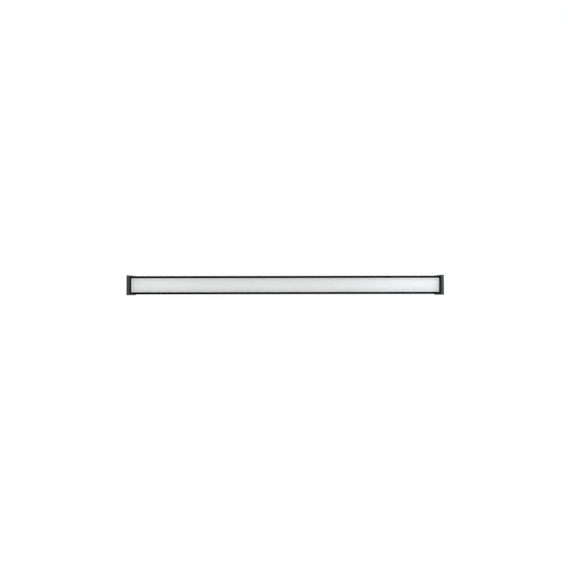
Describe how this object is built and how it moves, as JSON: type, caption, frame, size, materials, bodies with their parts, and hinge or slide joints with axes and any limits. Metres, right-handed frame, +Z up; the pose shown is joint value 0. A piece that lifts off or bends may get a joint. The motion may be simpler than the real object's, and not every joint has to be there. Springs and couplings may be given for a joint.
{
  "type": "vanity light bar",
  "caption": "Slim wall light bar for over a mirror: black extruded housing, opal front diffuser and square end plates, on a hidden wall bracket",
  "frame": {"origin": "centre of the wall bracket's rear face, in the plane of the wall", "axes": "+X along the bar, to the right for someone who faces the light; +Y into the wall, so the diffuser faces -Y; +Z up"},
  "size_m": [0.9144, 0.058, 0.058],
  "materials": {
    "black_powder_coat": "satin black powder coat on extruded aluminium",
    "opal_acrylic": "opal white acrylic, satin",
    "zinc_plated_sheet": "zinc plated steel sheet",
    "zinc_plated_screw": "zinc plated",
    "black_steel_screw": "black oxide",
    "green_ground_screw": "green dyed zinc",
    "black_rubber": "matte",
    "white_led_board": "white solder mask on an aluminium core",
    "white_painted_aluminium": "matte white paint",
    "green_circuit_board": "satin",
    "white_plastic": "satin",
    "grey_plastic": "satin",
    "natural_nylon": "satin",
    "tinned_brass": "satin",
    "black_insulation": "satin",
    "white_insulation": "satin",
    "green_insulation": "satin",
    "red_insulation": "satin",
    "blue_insulation": "satin"
  },
  "bodies": {
    "bracket": {"wall_bracket": "zinc_plated_sheet", "bracket_ground_screw": "green_ground_screw"},
    "light_body": {"housing": "black_powder_coat", "end_plate_left": "black_powder_coat", "end_plate_right": "black_powder_coat", "diffuser": "opal_acrylic", "back_cover": "zinc_plated_sheet", "back_cover_screw_1": "zinc_plated_screw", "back_cover_screw_2": "zinc_plated_screw", "back_cover_screw_3": "zinc_plated_screw", "back_cover_screw_4": "zinc_plated_screw", "led_board_screw_left_1": "zinc_plated_screw", "led_board_screw_left_2": "zinc_plated_screw", "led_board_screw_centre_1": "zinc_plated_screw", "led_board_screw_centre_2": "zinc_plated_screw", "led_board_screw_right_1": "zinc_plated_screw", "led_board_screw_right_2": "zinc_plated_screw", "driver_screw_left": "zinc_plated_screw", "driver_screw_right": "zinc_plated_screw", "terminal_block_screw": "zinc_plated_screw", "clinch_nut_left": "zinc_plated_screw", "clinch_nut_right": "zinc_plated_screw", "end_screw_left_1": "black_steel_screw", "end_screw_left_2": "black_steel_screw", "end_screw_left_3": "black_steel_screw", "end_screw_left_4": "black_steel_screw", "end_screw_right_1": "black_steel_screw", "end_screw_right_2": "black_steel_screw", "end_screw_right_3": "black_steel_screw", "end_screw_right_4": "black_steel_screw", "ground_lug_screw": "green_ground_screw", "end_gasket_left": "black_rubber", "end_gasket_right": "black_rubber", "wire_bushing": "black_rubber", "led_board_left": "white_led_board", "led_board_centre": "white_led_board", "led_board_right": "white_led_board", "reflector": "white_painted_aluminium", "driver_board": "green_circuit_board", "driver_base": "white_plastic", "driver_lid": "white_plastic", "board_link_left": "white_plastic", "board_link_right": "white_plastic", "terminal_block": "grey_plastic", "switch_frame": "grey_plastic", "wire_clip": "natural_nylon", "ground_lug": "tinned_brass", "line_wire": "black_insulation", "neutral_wire": "white_insulation", "ground_wire": "green_insulation", "led_wire_positive": "red_insulation", "led_wire_negative": "blue_insulation"},
    "colour_slider": {"switch_slider": "white_plastic"},
    "set_screw_left_tip": {"set_screw_tip_left": "natural_nylon"},
    "set_screw_left": {"set_screw_left": "black_steel_screw"},
    "set_screw_right_tip": {"set_screw_tip_right": "natural_nylon"},
    "set_screw_right": {"set_screw_right": "black_steel_screw"}
  },
  "joints": [
    {"name": "body_pull_off", "type": "slide", "parent": "bracket", "child": "light_body", "axis": [0, -1, 0], "range_m": [0, 0.06]},
    {"name": "colour_switch_slide", "type": "slide", "parent": "light_body", "child": "colour_slider", "axis": [1, 0, 0], "range_m": [-0.0025, 0.0025]},
    {"name": "set_screw_travel_left", "type": "slide", "parent": "light_body", "child": "set_screw_left_tip", "axis": [0, 0, -1], "range_m": [0, 0.0021]},
    {"name": "set_screw_turn_left", "type": "hinge", "parent": "set_screw_left_tip", "child": "set_screw_left", "pos_m": [-0.12, -0.0046, -0.024], "axis": [0, 0, -1], "range_deg": [0, 1080]},
    {"name": "set_screw_travel_right", "type": "slide", "parent": "light_body", "child": "set_screw_right_tip", "axis": [0, 0, -1], "range_m": [0, 0.0021]},
    {"name": "set_screw_turn_right", "type": "hinge", "parent": "set_screw_right_tip", "child": "set_screw_right", "pos_m": [0.12, -0.0046, -0.024], "axis": [0, 0, -1], "range_deg": [0, 1080]}
  ],
  "couplings": [
    {"joint": "set_screw_turn_left", "follows": "set_screw_travel_left", "rad_per_m": 8976},
    {"joint": "set_screw_turn_right", "follows": "set_screw_travel_right", "rad_per_m": 8976}
  ]
}
